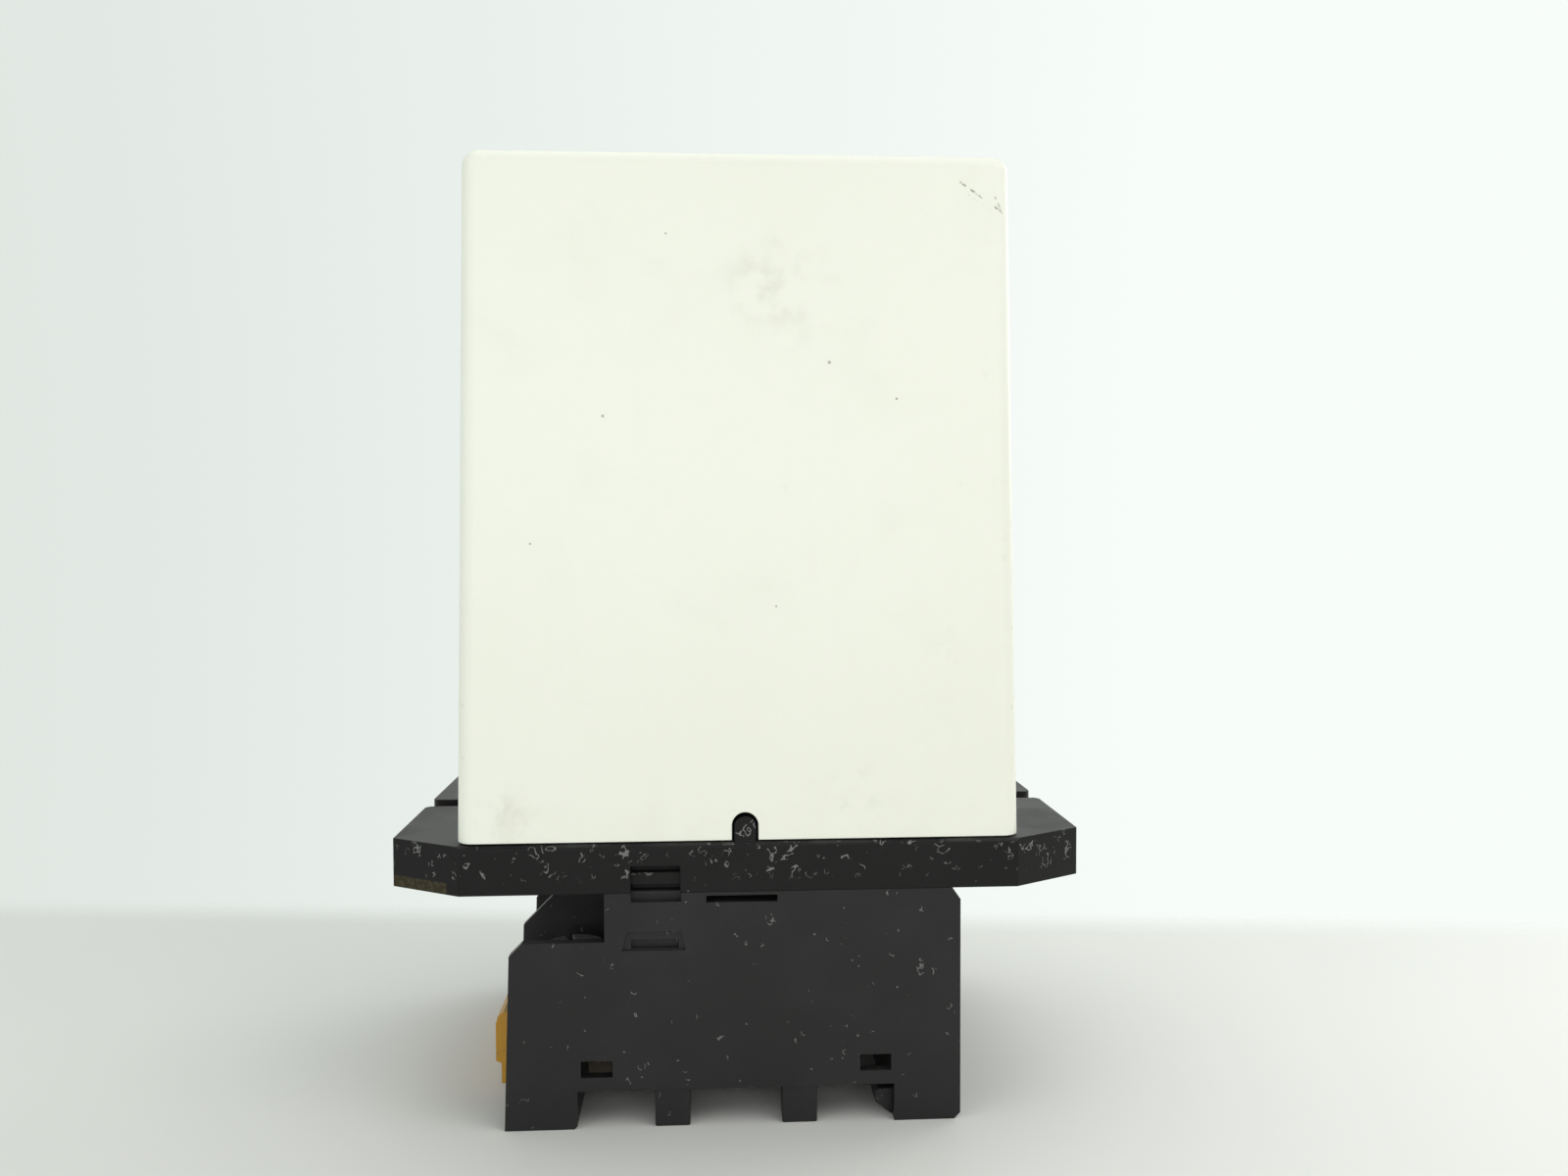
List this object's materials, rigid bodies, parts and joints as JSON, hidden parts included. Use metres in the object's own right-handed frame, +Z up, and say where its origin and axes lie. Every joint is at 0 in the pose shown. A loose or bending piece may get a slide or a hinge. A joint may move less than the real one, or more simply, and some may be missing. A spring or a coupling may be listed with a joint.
{
  "type": "plug-in relay with rail socket",
  "caption": "Tall plug-in protective relay with a flanged base and blade pins, seated in a screw-terminal socket that clips to a 35 mm rail by a sprung slider.",
  "frame": {"origin": "on the surface under the socket's feet, at the middle of the relay's flange", "axes": "+X across the rail, away from the rail slider; +Y along the rail; +Z up through the plug to the control face; the side with the key tab that is shown in front faces -Y"},
  "size_m": [0.0786, 0.05, 0.1105],
  "materials": {
    "black_moulding": "satin moulded plastic",
    "yellow_moulding": "semi-gloss moulded plastic",
    "spring_steel": "bright spring wire",
    "plated_steel": "zinc plated",
    "contact_brass": "bright",
    "tinned_blade": "tin plated",
    "circuit_board": "solder mask over glass laminate",
    "core_iron": "varnished laminations",
    "inner_plastic": "moulded plastic",
    "copper_winding": "enamelled wire",
    "component_body": "moulded components",
    "case_ivory": "fine satin",
    "face_print": "printed face",
    "dial_grey": "satin",
    "button_blue": "satin",
    "button_red": "satin",
    "lever_white": "satin",
    "lamp_green": "clear tinted",
    "lamp_red": "clear tinted"
  },
  "bodies": {
    "socket": {"socket_housing": "black_moulding", "socket_bottom_cover": "black_moulding", "slider_springs": "spring_steel", "terminal_screws_left": "plated_steel", "terminal_screws_right": "plated_steel", "clamp_washers_left": "plated_steel", "clamp_washers_right": "plated_steel", "terminal_strips": "contact_brass", "contact_clips": "contact_brass"},
    "relay": {"relay_base": "black_moulding", "plug_blades": "tinned_blade", "base_board": "circuit_board", "base_board_screws": "plated_steel", "transformer_core": "core_iron", "transformer_bobbin": "inner_plastic", "transformer_winding": "copper_winding", "smoothing_capacitors": "component_body", "film_capacitor": "component_body", "varistor": "component_body", "rectifier_diodes": "component_body", "voltage_regulator": "component_body", "output_relay_base": "inner_plastic", "output_relay_yoke": "plated_steel", "output_relay_core": "plated_steel", "output_relay_bobbin": "inner_plastic", "output_relay_winding": "copper_winding", "output_relay_fixed_contact": "contact_brass", "output_relay_return_spring": "spring_steel", "logic_board": "circuit_board", "board_headers": "inner_plastic", "logic_chip": "component_body", "driver_chip": "component_body", "resistors": "component_body", "control_board": "circuit_board", "dial_potentiometers": "inner_plastic", "tact_switches": "inner_plastic", "test_button_spring": "spring_steel", "reset_button_spring": "spring_steel", "mode_switch_body": "inner_plastic", "power_lamp": "lamp_green", "trip_lamp": "lamp_red", "case_cover": "case_ivory", "face_plate": "face_print"},
    "din_slider": {"din_slider": "yellow_moulding"},
    "armature": {"output_relay_armature": "plated_steel", "output_relay_contact_spring": "contact_brass"},
    "level_dial": {"level_dial": "dial_grey"},
    "delay_dial": {"delay_dial": "dial_grey"},
    "test_button": {"test_button": "button_blue"},
    "reset_button": {"reset_button": "button_red"},
    "mode_lever_left": {"mode_lever_left": "lever_white"},
    "mode_lever_right": {"mode_lever_right": "lever_white"}
  },
  "joints": [
    {"name": "relay_unplug", "type": "slide", "parent": "socket", "child": "relay", "axis": [0, 0, 1], "range_m": [0, 0.02]},
    {"name": "din_slider_pull", "type": "slide", "parent": "socket", "child": "din_slider", "axis": [-1, 0, 0], "range_m": [0, 0.0025], "stiffness_N_per_m": 1200, "springref_m": -0.002, "deforming": ["slider_springs"]},
    {"name": "level_dial_turn", "type": "hinge", "parent": "relay", "child": "level_dial", "pos_m": [-0.013, 0.0045, 0.1083], "axis": [0, 0, 1], "range_deg": [-140, 140]},
    {"name": "delay_dial_turn", "type": "hinge", "parent": "relay", "child": "delay_dial", "pos_m": [0.013, 0.0045, 0.1083], "axis": [0, 0, 1], "range_deg": [-140, 140]},
    {"name": "test_button_press", "type": "slide", "parent": "relay", "child": "test_button", "axis": [0, 0, -1], "range_m": [0, 0.001], "stiffness_N_per_m": 900, "springref_m": -0.0008, "deforming": ["test_button_spring"]},
    {"name": "reset_button_press", "type": "slide", "parent": "relay", "child": "reset_button", "axis": [0, 0, -1], "range_m": [0, 0.001], "stiffness_N_per_m": 900, "springref_m": -0.0008, "deforming": ["reset_button_spring"]},
    {"name": "mode_lever_left_slide", "type": "slide", "parent": "relay", "child": "mode_lever_left", "axis": [0, 1, 0], "range_m": [0, 0.002]},
    {"name": "mode_lever_right_slide", "type": "slide", "parent": "relay", "child": "mode_lever_right", "axis": [0, 1, 0], "range_m": [0, 0.002]},
    {"name": "armature_pull_in", "type": "hinge", "parent": "relay", "child": "armature", "pos_m": [0.0202, 0.01, 0.05255], "axis": [0, -1, 0], "range_deg": [0, 2.6], "stiffness_Nm_per_rad": 0.02, "springref_deg": -11.46, "deforming": ["output_relay_return_spring"]}
  ]
}
